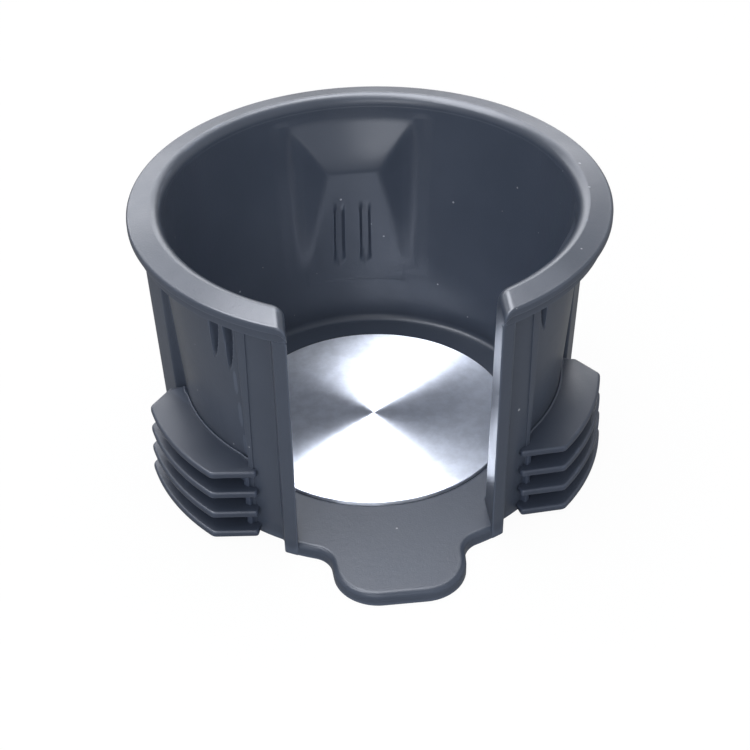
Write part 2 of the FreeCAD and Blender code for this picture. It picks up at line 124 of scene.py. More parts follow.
def tidy(piece):
    """Welds a piece, turns its faces outwards and shades it smooth between its real edges."""
    bm = bmesh.new()
    bm.from_mesh(piece.data)
    bmesh.ops.remove_doubles(bm, verts=bm.verts, dist=WELD_DISTANCE * MM)
    bmesh.ops.dissolve_degenerate(bm, edges=bm.edges, dist=0.001 * MM)
    bmesh.ops.recalc_face_normals(bm, faces=bm.faces)
    for face in bm.faces:
        face.smooth = True
    bm.to_mesh(piece.data)
    bm.free()
    piece.data.set_sharp_from_angle(angle=math.radians(SHARP_ANGLE))
    return piece


def stacked(name, rings, material, top=True):
    """Joins rings with the same number of points. The bottom is closed by one face, and so is the top if asked."""
    count = len(rings[0])
    vertices = [p for ring in rings for p in ring]
    faces = []
    for k in range(len(rings) - 1):
        for i in range(count):
            j = (i + 1) % count
            faces.append((k * count + i, k * count + j, (k + 1) * count + j, (k + 1) * count + i))
    if top:
        last = (len(rings) - 1) * count
        faces.append(tuple(range(last, last + count)))
    faces.append(tuple(reversed(range(count))))
    return mesh_object(name, vertices, faces, material)


def joined(name, pieces):
    """Makes one object of several pieces."""
    for other in bpy.context.selected_objects:
        other.select_set(False)
    for piece in pieces:
        piece.select_set(True)
    bpy.context.view_layer.objects.active = pieces[0]
    bpy.ops.object.join()
    pieces[0].name = name
    pieces[0].data.name = name
    return pieces[0]


def cut(piece, tools):
    """Cuts each tool out of a piece and removes the tools."""
    for tool in tools:
        modifier = piece.modifiers.new("cut", "BOOLEAN")
        modifier.operation = "DIFFERENCE"
        modifier.solver = "EXACT"
        modifier.object = tool
        evaluated = piece.evaluated_get(bpy.context.evaluated_depsgraph_get())
        mesh = bpy.data.meshes.new_from_object(evaluated)
        piece.modifiers.remove(modifier)
        old, piece.data = piece.data, mesh
        mesh.name = piece.name
        bpy.data.meshes.remove(old)
        bpy.data.objects.remove(tool)
    return piece


def inset_ring(points, distance):
    """A plan curve moved inwards, square to itself, with folds closed up. The curve runs anticlockwise."""
    count = len(points)
    moved = []
    for i, p in enumerate(points):
        along = (points[(i + 1) % count] - points[i - 1]).normalized()
        moved.append(p + Vector((-along.y, along.x)) * distance)
    for _ in range(12):
        for i in range(count):
            if (moved[i] - moved[i - 1]).dot(points[i] - points[i - 1]) < 0:
                middle = (moved[i] + moved[i - 1]) / 2
                moved[i], moved[i - 1] = middle.copy(), middle
    return moved


def rounded_plate(name, points, bottom, top, bottom_round, top_round, material, steps=4):
    """A plate with both of its rims rounded over."""
    rings = []
    for k in range(steps + 1):
        t = math.pi / 2 * k / steps
        ring = inset_ring(points, bottom_round * (1 - math.sin(t)))
        rings.append([(p.x, p.y, bottom + bottom_round * (1 - math.cos(t))) for p in ring])
    for k in range(steps + 1):
        t = math.pi / 2 * k / steps
        ring = inset_ring(points, top_round * (1 - math.cos(t)))
        rings.append([(p.x, p.y, top - top_round * (1 - math.sin(t))) for p in ring])
    return stacked(name, rings, material)


# Node helpers

def node(tree, kind, place=(0, 0), **settings):
    made = tree.nodes.new(kind)
    made.location = place
    for key, value in settings.items():
        setattr(made, key, value)
    return made


def feed(tree, target, source):
    """Sets a socket to a value, or links it to another socket."""
    if isinstance(source, bpy.types.NodeSocket):
        tree.links.new(source, target)
    else:
        target.default_value = source


def maths(tree, operation, a, b=None, c=None, clamp=False):
    made = node(tree, "ShaderNodeMath", operation=operation, use_clamp=clamp)
    for socket, source in zip(made.inputs, (a, b, c)):
        if source is not None:
            feed(tree, socket, source)
    return made.outputs[0]


def noise(tree, vector, scale, detail, rough):
    made = node(tree, "ShaderNodeTexNoise")
    feed(tree, made.inputs["Vector"], vector)
    feed(tree, made.inputs["Scale"], scale)
    feed(tree, made.inputs["Detail"], detail)
    feed(tree, made.inputs["Roughness"], rough)
    return made.outputs["Fac"]


def spread(tree, value, low, high, to_low=0.0, to_high=1.0):
    """Maps a range smoothly onto another one and holds the value at its ends."""
    made = node(tree, "ShaderNodeMapRange", interpolation_type="SMOOTHSTEP")
    feed(tree, made.inputs["Value"], value)
    for name, number in (("From Min", low), ("From Max", high), ("To Min", to_low), ("To Max", to_high)):
        feed(tree, made.inputs[name], number)
    return made.outputs["Result"]


def blend_colour(tree, factor, a, b):
    made = node(tree, "ShaderNodeMix", data_type="RGBA", blend_type="MIX")
    feed(tree, made.inputs["Factor"], factor)
    feed(tree, made.inputs["A"], a)
    feed(tree, made.inputs["B"], b)
    return made.outputs["Result"]


def new_group(name, inputs, outputs):
    """A shader node group with named number sockets. Returns it with its input and output nodes."""
    group = bpy.data.node_groups.new(name, "ShaderNodeTree")
    for label, kind, default in inputs:
        socket = group.interface.new_socket(label, in_out="INPUT", socket_type=kind)
        if default is not None:
            socket.default_value = default
    for label, kind in outputs:
        group.interface.new_socket(label, in_out="OUTPUT", socket_type=kind)
    return group, node(group, "NodeGroupInput", (-900, 0)), node(group, "NodeGroupOutput", (900, 0))


def dust_group():
    """Sparse pale specks of dust, at the places a noise lets them lie."""
    group, put, out = new_group(
        "Dust specks",
        [("Vector", "NodeSocketVector", None), ("Speck spacing", "NodeSocketFloat", 400.0),
         ("Speck size", "NodeSocketFloat", 0.09), ("Amount", "NodeSocketFloat", 0.5)],
        [("Mask", "NodeSocketFloat")],
    )
    cells = node(group, "ShaderNodeTexVoronoi", feature="F1")
    feed(group, cells.inputs["Vector"], put.outputs["Vector"])
    feed(group, cells.inputs["Scale"], put.outputs["Speck spacing"])
    picked = node(group, "ShaderNodeSeparateColor")
    feed(group, picked.inputs[0], cells.outputs["Color"])
    size = maths(group, "MULTIPLY", put.outputs["Speck size"], spread(group, picked.outputs[1], 0.0, 1.0, 0.5, 1.6))
    speck = spread(group, maths(group, "DIVIDE", cells.outputs["Distance"], size), 0.6, 1.0, 1.0, 0.0)
    chosen = maths(group, "LESS_THAN", picked.outputs[0], put.outputs["Amount"])
    feed(group, out.inputs["Mask"], maths(group, "MULTIPLY", speck, chosen))
    return group


def grain_group():
    """Fine moulded grain, as a height and as a slow variation of tone."""
    group, put, out = new_group(
        "Moulded grain",
        [("Vector", "NodeSocketVector", None), ("Grain scale", "NodeSocketFloat", 2500.0),
         ("Cloud scale", "NodeSocketFloat", 60.0)],
        [("Height", "NodeSocketFloat"), ("Tone", "NodeSocketFloat")],
    )
    fine = noise(group, put.outputs["Vector"], put.outputs["Grain scale"], 3.0, 0.6)
    coarse = noise(group, put.outputs["Vector"], maths(group, "MULTIPLY", put.outputs["Grain scale"], 0.3), 2.0, 0.5)
    height = maths(group, "ADD", maths(group, "MULTIPLY", fine, 0.6), maths(group, "MULTIPLY", coarse, 0.4))
    feed(group, out.inputs["Height"], height)
    feed(group, out.inputs["Tone"], noise(group, put.outputs["Vector"], put.outputs["Cloud scale"], 3.0, 0.55))
    return group


def edge_wear_and_highlight_group():
    """Where a surface turns sharply outwards: partly rubbed wear on a handled edge, partly a painted highlight along
    the edge.
    """
    group, put, out = new_group(
        "Edge rub", [("Vector", "NodeSocketVector", None), ("Start", "NodeSocketFloat", 0.52)],
        [("Mask", "NodeSocketFloat")],
    )
    shape = node(group, "ShaderNodeNewGeometry")
    broken = noise(group, put.outputs["Vector"], 1600.0, 3.0, 0.6)
    turn = maths(group, "ADD", shape.outputs["Pointiness"], maths(group, "MULTIPLY", broken, 0.004))
    limit = maths(group, "ADD", put.outputs["Start"], 0.03)
    feed(group, out.inputs["Mask"], spread(group, turn, put.outputs["Start"], limit))
    return group


def use_group(tree, group, **values):
    """Places a shader group and feeds the sockets that are named, with _ for a blank."""
    made = node(tree, "ShaderNodeGroup", node_tree=group)
    for label, source in values.items():
        feed(tree, made.inputs[label.replace("_", " ")], source)
    return made


def start_material(name):
    """A new material with its node tree, its Principled shader and object coordinates."""
    material = bpy.data.materials.new(name)
    material.use_nodes = True
    tree = material.node_tree
    return material, tree, tree.nodes["Principled BSDF"], node(tree, "ShaderNodeTexCoord").outputs["Object"]


PLASTIC_GLOSS = 0.4
DUST_COLOUR = (0.55, 0.56, 0.6, 1)


def groups():
    """The shared shader groups, each made once."""
    made = {}
    for name, make in (("Dust specks", dust_group), ("Moulded grain", grain_group), ("Edge rub", edge_wear_and_highlight_group)):
        made[name] = bpy.data.node_groups.get(name) or make()
    return made


def plastic(name, colour, roughness, grain_depth, dust, floor_gloss=PLASTIC_GLOSS):
    """Satin moulded plastic or rubber with grain, cloudy tone, edges lightened partly as rubbed wear and partly as a
    painted highlight, and specks of dust.

    floor_gloss is the specular level of the floor and its tongue, which are duller than the rest.
    """
    if name in bpy.data.materials:
        return bpy.data.materials[name]
    material, tree, shader, where = start_material(name)
    shared = groups()
    grain = use_group(tree, shared["Moulded grain"], Vector=where, Grain_scale=2600.0, Cloud_scale=70.0)
    specks = use_group(tree, shared["Dust specks"], Vector=where, Speck_spacing=330.0, Speck_size=0.07, Amount=dust)
    wear_and_highlight = use_group(tree, shared["Edge rub"], Vector=where, Start=0.519)
    base = Vector(colour)
    tone = blend_colour(tree, grain.outputs["Tone"], (*(base * 0.9), 1), (*(base * 1.1), 1))
    # Convex edges are lightened up to 2.2 times the base colour: partly rubbed wear, partly a painted highlight along
    # the edges.
    edged = blend_colour(tree, maths(tree, "MULTIPLY", wear_and_highlight.outputs["Mask"], 0.32), tone, (*(base * 2.2), 1))
    dusty = maths(tree, "MULTIPLY", specks.outputs["Mask"], 0.55)
    feed(tree, shader.inputs["Base Color"], blend_colour(tree, dusty, edged, DUST_COLOUR))
    rough = spread(tree, grain.outputs["Tone"], 0.3, 0.7, roughness - 0.04, roughness + 0.04)
    axes = node(tree, "ShaderNodeSeparateXYZ")
    feed(tree, axes.inputs[0], where)
    low, high = (FLOOR_TOP + 0.3) * MM, (FLOOR_TOP + 2.0) * MM
    gloss = spread(tree, axes.outputs[2], low, high, floor_gloss, PLASTIC_GLOSS)
    feed(tree, shader.inputs["Specular IOR Level"], gloss)
    feed(tree, shader.inputs["Roughness"], maths(tree, "ADD", rough, maths(tree, "MULTIPLY", dusty, 0.3), clamp=True))
    bump = node(tree, "ShaderNodeBump")
    feed(tree, bump.inputs["Height"], grain.outputs["Height"])
    bump.inputs["Strength"].default_value = 0.5
    bump.inputs["Distance"].default_value = grain_depth
    feed(tree, shader.inputs["Normal"], bump.outputs["Normal"])
    return material


def spun_metal(name, colour, roughness):
    """Aluminium turned on a lathe: fine rings round the cup axis and a faint mottle."""
    if name in bpy.data.materials:
        return bpy.data.materials[name]
    material, tree, shader, where = start_material(name)
    shared = groups()
    axes = node(tree, "ShaderNodeSeparateXYZ")
    feed(tree, axes.inputs[0], where)
    across = maths(tree, "SQRT", maths(tree, "ADD", maths(tree, "MULTIPLY", axes.outputs[0], axes.outputs[0]),
                                      maths(tree, "MULTIPLY", axes.outputs[1], axes.outputs[1])))
    ring_place = node(tree, "ShaderNodeCombineXYZ")
    feed(tree, ring_place.inputs[0], across)
    rings = noise(tree, ring_place.outputs[0], 9000.0, 2.0, 0.7)
    bands = noise(tree, ring_place.outputs[0], 900.0, 2.0, 0.6)
    mottle = noise(tree, where, 330.0, 4.0, 0.65)
    specks = use_group(tree, shared["Dust specks"], Vector=where, Speck_spacing=420.0, Speck_size=0.06, Amount=0.12)
    base = Vector(colour)
    tone = blend_colour(tree, spread(tree, mottle, 0.3, 0.7), (*(base * 0.88), 1), (*(base * 1.05), 1))
    ringed = blend_colour(tree, maths(tree, "MULTIPLY", bands, 0.35), tone, (*(base * 0.75), 1))
    dusty = maths(tree, "MULTIPLY", specks.outputs["Mask"], 0.6)
    feed(tree, shader.inputs["Base Color"], blend_colour(tree, dusty, ringed, (0.85, 0.86, 0.88, 1)))
    shader.inputs["Metallic"].default_value = 0.86
    rough = maths(tree, "ADD", spread(tree, mottle, 0.25, 0.75, roughness - 0.03, roughness + 0.03),
                  maths(tree, "MULTIPLY", rings, 0.04))
    feed(tree, shader.inputs["Roughness"], rough)
    shader.inputs["Anisotropic"].default_value = 1.0
    shader.inputs["Anisotropic Rotation"].default_value = 0.25
    tangent = node(tree, "ShaderNodeTangent", direction_type="RADIAL", axis="Z")
    feed(tree, shader.inputs["Tangent"], tangent.outputs[0])
    bump = node(tree, "ShaderNodeBump")
    feed(tree, bump.inputs["Height"], rings)
    bump.inputs["Strength"].default_value = 0.06
    bump.inputs["Distance"].default_value = 0.00002
    feed(tree, shader.inputs["Normal"], bump.outputs["Normal"])
    return material


# Settings that a user may change

def length(name, description, value):
    return bpy.props.FloatProperty(name=name, description=description, default=value * MM, min=0.0,
                                   subtype="DISTANCE", unit="LENGTH", precision=5)


def colour(name, description, value):
    return bpy.props.FloatVectorProperty(name=name, description=description, default=value, size=3,
                                         min=0.0, max=1.0, subtype="COLOR")


def fraction(name, description, value):
    return bpy.props.FloatProperty(name=name, description=description, default=value, min=0.0, max=1.0,
                                   subtype="FACTOR")


def power(name, description, value):
    return bpy.props.FloatProperty(name=name, description=description, default=value, min=0.0, unit="POWER")


class CupSettings(bpy.types.PropertyGroup):
    mouth: length("Mouth radius", "Inner radius of the cup where its lip starts", 40.5)
    rim: length("Rim radius", "Outer radius of the flange", 47.25)
    height: length("Height", "Overall height", 58.0)
    opening: length("Opening half width", "Half of the gap between the posts", 19.1)
    edge: length("Edge rounding", "Rounding of the upright edges", 0.45)
    colour: colour("Plastic", "Colour of the moulding", (0.048, 0.059, 0.082))
    roughness: fraction("Roughness", "Roughness of the plastic", 0.32)


class DiscSettings(bpy.types.PropertyGroup):
    radius: length("Disc radius", "Radius of the metal disc", 29.15)
    thickness: length("Disc thickness", "Thickness of the metal disc", 1.0)
    colour: colour("Metal", "Colour of the disc", (0.79, 0.84, 0.94))
    roughness: fraction("Roughness", "Roughness of the turned face", 0.35)


class FinSettings(bpy.types.PropertyGroup):
    count: bpy.props.IntProperty(name="Fins", description="Fins in each block", default=4, min=1, max=12)
    pitch: length("Pitch", "Height from one fin to the next", 4.9)
    thickness: length("Thickness", "Thickness of a fin", 1.4)
    growth: bpy.props.FloatProperty(name="Growth", description="How much wider each lower fin is",
                                    default=0.0056, min=0.0, max=0.1)
    colour: colour("Rubber", "Colour of the fins", (0.038, 0.048, 0.071))
    roughness: fraction("Roughness", "Roughness of the fins", 0.4)


class StudioSettings(bpy.types.PropertyGroup):
    key: power("Overhead lamp", "Power of the lamp above", 3.1)
    back: power("Back lamp", "Power of the lamp behind, which shows in gloss only", 8.6)
    fill: power("Front lamp", "Power of the lamp in front", 4.4)
    glint: power("Glint lamp", "Power of the wide lamp above, which shows in gloss only", 22.0)
    sky: bpy.props.FloatProperty(name="Sky", description="Strength of the even light all round",
                                 default=0.68, min=0.0)


# The cup. Lengths are in millimetres, and angles in degrees from the front

FLOOR_TOP = 2.7
SEAT_RADIUS, SEAT_DEPTH, DISC_PROUD = 29.4, 0.4, 0.6
FOOT_ROUND = 1.4
TAPER_HEIGHT, MID_HEIGHT = 55.8, 29.0
INNER_FOOT, INNER_HEIGHT, BELOW_FLOOR = 36.26, 56.4, 33.0

# Radii at the foot and at the top of the taper
WALL, POST, FRONT, STEP, SKIN = (37.96, 42.0), (43.4, 46.2), (40.4, 43.1), (41.0, 42.8), (44.1, 46.2)
POST_WIDTH = 2.6
RIB_START, RIB_END, RIB_HEIGHT = 39.2, 41.2, 0.3
SKIN_START, SKIN_FULL, SKIN_LAST, SKIN_END = 88.8, 97.0, 143.0, 151.2
SKIN_THICKNESS, HOLLOW_TOP = 1.8, 52.0

# The rim
COLLAR_BOTTOM, COLLAR_RADIUS = 53.3, 46.25
FLANGE_BOTTOM = 55.66
LIP = 2.3
RIM_END = 1.9
RIM_EDGE_ROUND, RIM_CROWN = 0.6, 0.74

# The pads, with their grooves and the step that the mould insert leaves round them
PAD_CENTRES = (60.0, 180.0, 300.0)
PAD_TOP, PAD_WAIST, PAD_BOTTOM = 52.7, 42.5, 17.0
PAD_FACE, PAD_BEVEL, PAD_SLOPE = 34.9, 5.35, 2.64
PAD_HALF, PAD_FLARE, PAD_SPREAD, PAD_FLANK = 6.2, 6.0, 4.8, 13.0
PAD_RADIUS, PAD_REACH = 37.5, 24.0
GROOVE_OFFSET, GROOVE_SHIFT, GROOVE_HALF, GROOVE_DEPTH = 3.0, 0.5, 1.1, 0.85
GROOVE_BOTTOM, GROOVE_POINT, GROOVE_TOP, GROOVE_RUN_OUT = 18.4, 1.4, 35.5, 5.0
INSERT_BOTTOM, INSERT_HALF, INSERT_STEP = 13.1, 17.5, 0.05


def grow(low, high, z):
    """A radius at a height, from its sizes at the foot and at the top of the taper."""
    return low + (high - low) * z / TAPER_HEIGHT


def wall_radius(z):
    return grow(*WALL, z)


def inner_radius(z, mouth):
    """Radius of the cup's inside without its pads: a small rounded foot, then a cone."""
    if z < FLOOR_TOP - 0.1:
        return BELOW_FLOOR
    cone = INNER_FOOT + (mouth - INNER_FOOT) * z / INNER_HEIGHT
    return cone - foot_round(z)


def foot_round(z):
    """How far the fillet on the floor stands out from the wall at a height."""
    fall = min(max(FLOOR_TOP + FOOT_ROUND - z, 0.0), FOOT_ROUND)
    return FOOT_ROUND - math.sqrt(FOOT_ROUND ** 2 - fall ** 2)


def pad_shape(z):
    """Radius of a pad's face at a height, and half its width: a bevel above the waist and a straight face below."""
    if z >= PAD_WAIST:
        t = (z - PAD_WAIST) / (PAD_TOP - PAD_WAIST)
        return PAD_FACE + PAD_BEVEL * t ** 1.35, PAD_HALF + PAD_FLARE * t
    t = (PAD_WAIST - z) / (PAD_WAIST - PAD_BOTTOM)
    return PAD_FACE + PAD_SLOPE * t, PAD_HALF + PAD_SPREAD * t


def groove_depth(across, z):
    """Depth of the two upright grooves with round lower ends in a pad's lower face."""
    rise = max(1 - (z - GROOVE_BOTTOM) / GROOVE_POINT, 0.0)
    half = GROOVE_HALF * math.sqrt(max(1 - rise ** 2, 0.0))
    if half <= 0:
        return 0.0
    away = abs(abs(across - GROOVE_SHIFT) - GROOVE_OFFSET)
    return GROOVE_DEPTH * ease((half + 0.15 - away) / 0.5) * ease((GROOVE_TOP - z) / GROOVE_RUN_OUT)


def inside(angle, z, mouth):
    """Radius of the cup's inside at an angle from the front, with its pads and their grooves."""
    plain = inner_radius(z, mouth)
    if z < INSERT_BOTTOM or z > PAD_TOP + 1.0:
        return plain
    for centre in PAD_CENTRES:
        off = math.radians(angle - centre)
        if abs(off) > math.radians(PAD_REACH):
            continue
        within = ease((math.radians(INSERT_HALF) - abs(off)) / 0.012)
        plain += INSERT_STEP * within * ease((z - INSERT_BOTTOM) / 0.25)
        if z < PAD_BOTTOM - 1.5:
            continue
        face, half = pad_shape(z)
        across = PAD_RADIUS * math.sin(off)
        flank = (abs(across) - half) / (PAD_FLANK - min(half, PAD_FLANK - 0.6))
        flank = soft_max(soft_min(flank, 1.0, 0.18), 0.0, 0.18)
        face += groove_depth(across, z)
        return soft_min(plain, face + (plain - face) * flank, 0.2 + 0.4 * ease((z - 48.0) / 4.0))
    return plain


# Each slot's near and far angle under the collar, and the height of its tip
RIGHT_SLOTS = ((42.4, 46.6, 42.5),)
LEFT_SLOTS = ((42.5, 46.7, 38.7), (47.3, 52.2, 40.0))
SLOT_RADIUS, SLOT_DEEPEST, SLOT_WALL = 41.0, 2.6, 0.55
# Fractions of the recess wall's arc, closer together across the slots
SLOT_SPOTS = [0.27 * k / 43 for k in range(44)] + [0.27 + 0.73 * k / 22 for k in range(1, 23)]


def slot_depth(angle, z, slots):
    """Depth of the tapered slots in the outside of the recess at an angle and height."""
    deepest = 0.0
    for near, far, tip in slots:
        if z < tip:
            continue
        width = math.radians(far - near) * SLOT_RADIUS
        share = math.sqrt(min((z - tip) / (COLLAR_BOTTOM - tip), 1.0))
        from_far = math.radians(far - angle) * SLOT_RADIUS
        edge = min(from_far, width * share - from_far)
        depth = min(SLOT_DEEPEST, 1.5 + 0.6 * max(edge, 0.0), (z - tip) * 0.9 + 0.2)
        deepest = max(deepest, ease(edge / 0.3) * depth)
    return deepest


def tilted(angle, tilt, radius, z):
    """The angle at which a plane tilted about mid height meets a radius at a height."""
    return angle - math.degrees((z - MID_HEIGHT) * math.tan(math.radians(tilt)) / radius)


def half_outline(z, opening, mouth, slots):
    """The right-hand outside of the cup wall at a height, from the opening to the back, with corner sizes."""
    post, front, wall = grow(*POST, z), grow(*FRONT, z), wall_radius(z)
    rib, step, skin = front + RIB_HEIGHT, grow(*STEP, z), grow(*SKIN, z)
    post_out = opening + POST_WIDTH
    rib_start = tilted(RIB_START, 3.0, front, z)
    rib_end = tilted(RIB_END, 1.5, rib, z)
    wall_start = tilted(RIB_END, 1.5, wall, z)

    def on(radius, x):
        return math.degrees(math.asin(x / radius))

    def slotted(radius, start, end, count):
        span = math.radians(end - start) * radius

        def place(s):
            angle = start + (end - start) * s / span
            solid = radius - inside(angle, z, mouth) - SLOT_WALL
            return at_angle(radius - min(slot_depth(angle, z, slots), solid), angle)
        return span, place, count

    return [
        (arc(post, on(post, opening), on(post, post_out), 4), 0.35),
        (line(at_angle(post, on(post, post_out)), at_angle(front, on(front, post_out)), 4), 0.5),
        (arc(front, on(front, post_out), rib_start, 9), 0.12),
        (line(at_angle(front, rib_start), at_angle(rib, rib_start), 2), 0.12),
        (arc(rib, rib_start, rib_end, 3), 0.2),
        (line(at_angle(rib, rib_end), at_angle(wall, wall_start), 4), 0.5),
        (slotted(wall, wall_start, SKIN_START, SLOT_SPOTS), 0.5),
        (line(at_angle(wall, SKIN_START), at_angle(step, SKIN_START), 3), 0.3),
        (line(at_angle(step, SKIN_START), at_angle(skin, SKIN_FULL), 5), 1.0),
        (arc(skin, SKIN_FULL, SKIN_LAST, 28), 1.0),
        (line(at_angle(skin, SKIN_LAST), at_angle(step, SKIN_END), 5), 0.3),
        (line(at_angle(step, SKIN_END), at_angle(wall, SKIN_END), 3), 0.5),
    ]


def mirrored_back(parts):
    """The same parts for the left-hand side, run the other way. The ring sets the last part's corner."""
    made = []
    trims = [trim for _, trim in parts]
    for i in range(len(parts) - 1, -1, -1):
        (span, place, spots), _ = parts[i]

        def flipped(s, span=span, place=place):
            p = place(span - s)
            return Vector((-p.x, p.y))

        if not isinstance(spots, int):
            spots = [1 - f for f in reversed(spots)]
        made.append(((span, flipped, spots), trims[i - 1] if i else None))
    return made


def inner_spots(count):
    """Fractions of the inner arc, closer together across the pads and at its two ends."""
    fine = 4000
    start, end = 29.0, 331.0
    total, sums = 0.0, [0.0]
    for k in range(fine):
        a = start + (end - start) * (k + 0.5) / fine
        near = min(abs(a - c) for c in PAD_CENTRES)
        total += 0.34 + 0.66 * ease((PAD_REACH - near) / 6.0) + 1.6 * ease(3.4 - min(a - start, end - a))
        sums.append(total)
    spots, k = [], 0
    for i in range(count):
        goal = total * i / (count - 1)
        while k < fine - 1 and sums[k + 1] < goal:
            k += 1
        spots.append((k + (goal - sums[k]) / (sums[k + 1] - sums[k])) / fine)
    return spots


def ring(z_out, z_in, outline, r_in, opening, corner, spots, mouth):
    """One closed ring of the cup: its outside is given, and the opening's faces and the inside are added.

    Its height runs from z_out on the outside to z_in on the inside.
    """
    def edge(radius):
        return math.degrees(math.asin(opening / radius))

    start = edge(r_in)
    span = math.radians(360 - 2 * start) * r_in

    def inner_place(s):
        angle = 360 - start - (360 - 2 * start) * s / span
        radius = r_in + inside(angle, z_in, mouth) - inner_radius(z_in, mouth)
        return at_angle(radius, angle)

    first = outline[0][0][1](0.0)
    end_out = Vector((-first.x, first.y))
    in_left = at_angle(r_in, 360 - start)
    in_right = at_angle(r_in, start)
    faces = 6
    parts = [part for part, _ in outline]
    trims = [trim for _, trim in outline]
    trims[-1] = corner
    parts += [line(end_out, in_left, faces), (span, inner_place, spots), line(in_right, first, faces)]
    trims += [0.3, 0.3, corner]
    points = closed_curve(parts, trims)
    outer_end = len(points) - 2 * faces - len(spots) - 3 * CORNER_STEPS
    across = faces + 2 * CORNER_STEPS
    inner_end = outer_end + across + len(spots)
    made = []
    for i, p in enumerate(points):
        if i < outer_end:
            share = 0.0
        elif i < outer_end + across:
            share = (i - outer_end + 1) / (across + 1)
        elif i < inner_end:
            share = 1.0
        else:
            share = 1 - (i - inner_end + 1) / (across + 1)
        made.append((p.x, p.y, z_out + (z_in - z_out) * share))
    return made


def cup_wall(cup, material):
    """The wall, posts, skin panels, collar and rim as one skin of rings from the foot to the lip."""
    opening, mouth = cup.opening / MM, cup.mouth / MM
    rim, height, corner = cup.rim / MM, cup.height / MM, cup.edge / MM
    # Heights of the wall's rings, closer together at the foot, at the insert's step and across the pads
    levels = [0.0, 2.3, 2.55, 2.7, 2.72, 2.79, 2.9, 3.05, 3.23, 3.44, 3.66, 3.88, 4.1, 6.0, 8.0, 10.5, 12.5]
    levels += [13.05, 13.15, 13.25, 13.35, 14.2, 15.2] + [16.2 + 0.75 * k for k in range(25)]
    levels += [34.8 + 0.5 * k for k in range(37)] + [53.2]
    rings = []

    def wall_outline(z):
        right = half_outline(z, opening, mouth, RIGHT_SLOTS)
        left = mirrored_back(half_outline(z, opening, mouth, LEFT_SLOTS))
        back = (arc(wall_radius(z), SKIN_END, 360 - SKIN_END, 36), 0.5)
        return right + [back] + left

    sample = wall_outline(20.0)
    parts = [part for part, _ in sample]
    count = sum(p[2] if isinstance(p[2], int) else len(p[2]) for p in parts)
    count += CORNER_STEPS * (len(parts) - 1)
    spots = inner_spots(count)
    for z in levels:
        rings.append(ring(z, z, wall_outline(z), inner_radius(z, mouth), opening, corner, spots, mouth))

    def round_outline(radius, x):
        start = math.degrees(math.asin(x / radius))
        return [(arc(radius, start, 360 - start, count, spots), corner)]

    def rim_ring(z_out, r_out, z_in, r_in, size):
        points = ring(z_out, z_in, round_outline(r_out, opening), r_in, opening, size, spots, mouth)
        rings.append([rolled_end(p, opening) for p in points])

    collar, low, under = COLLAR_RADIUS, COLLAR_BOTTOM, FLANGE_BOTTOM
    lip_base = height - LIP
    end_corner = 0.8
    for z, r, z_in in ((low, collar - 0.3, low), (low + 0.04, collar - 0.12, low + 0.06),
                       (low + 0.12, collar - 0.03, low + 0.14), (low + 0.3, collar, low + 0.3),
                       (54.3, collar, 54.3), (55.0, collar, 55.0), (55.5, collar, 55.5),
                       (under, collar + 0.05, under), (under, rim - 0.2, under + 0.09),
                       (under + 0.06, rim - 0.06, under + 0.19), (under + 0.2, rim, under + 0.29),
                       (56.1, rim, 56.1), (56.35, rim, 56.38)):
        r_in = lip(z_in, mouth, lip_base) if z_in > lip_base else inner_radius(z_in, mouth)
        rim_ring(z, r, z_in, r_in, end_corner)
    edge_top, flat = height - RIM_CROWN, rim - RIM_EDGE_ROUND
    for k in range(7):
        t = math.pi / 2 * k / 6
        z = edge_top - RIM_EDGE_ROUND * (1 - math.sin(t))
        rim_ring(z, flat + RIM_EDGE_ROUND * math.cos(t), z, lip(z, mouth, lip_base), end_corner)
    for k in range(1, 15):
        f = 1 - (1 - k / 14) ** 1.6
        z = edge_top + RIM_CROWN * f
        rim_ring(z, flat + (mouth + LIP - flat) * f, z, lip(z, mouth, lip_base), end_corner - 0.5 * f)
    return stacked("wall", rings, material, top=False)


def rolled_end(point, opening):
    """Lowers a rim point near the opening, so that the whole flange rolls down at its two ends."""
    x, y, z = point
    near = RIM_END - (abs(x) - opening)
    if y > 0 or near <= 0:
        return point
    fall = RIM_END - math.sqrt(max(RIM_END ** 2 - min(near, RIM_END) ** 2, 0.0))
    return x, y, z - fall * min(max((z - COLLAR_BOTTOM) / (FLANGE_BOTTOM - COLLAR_BOTTOM), 0.0), 1.0)


def lip(z, mouth, base):
    """Radius of the lip's rounding at a height."""
    rise = min(max(z - base, 0.0), LIP)
    return mouth + LIP - math.sqrt(LIP ** 2 - rise ** 2)


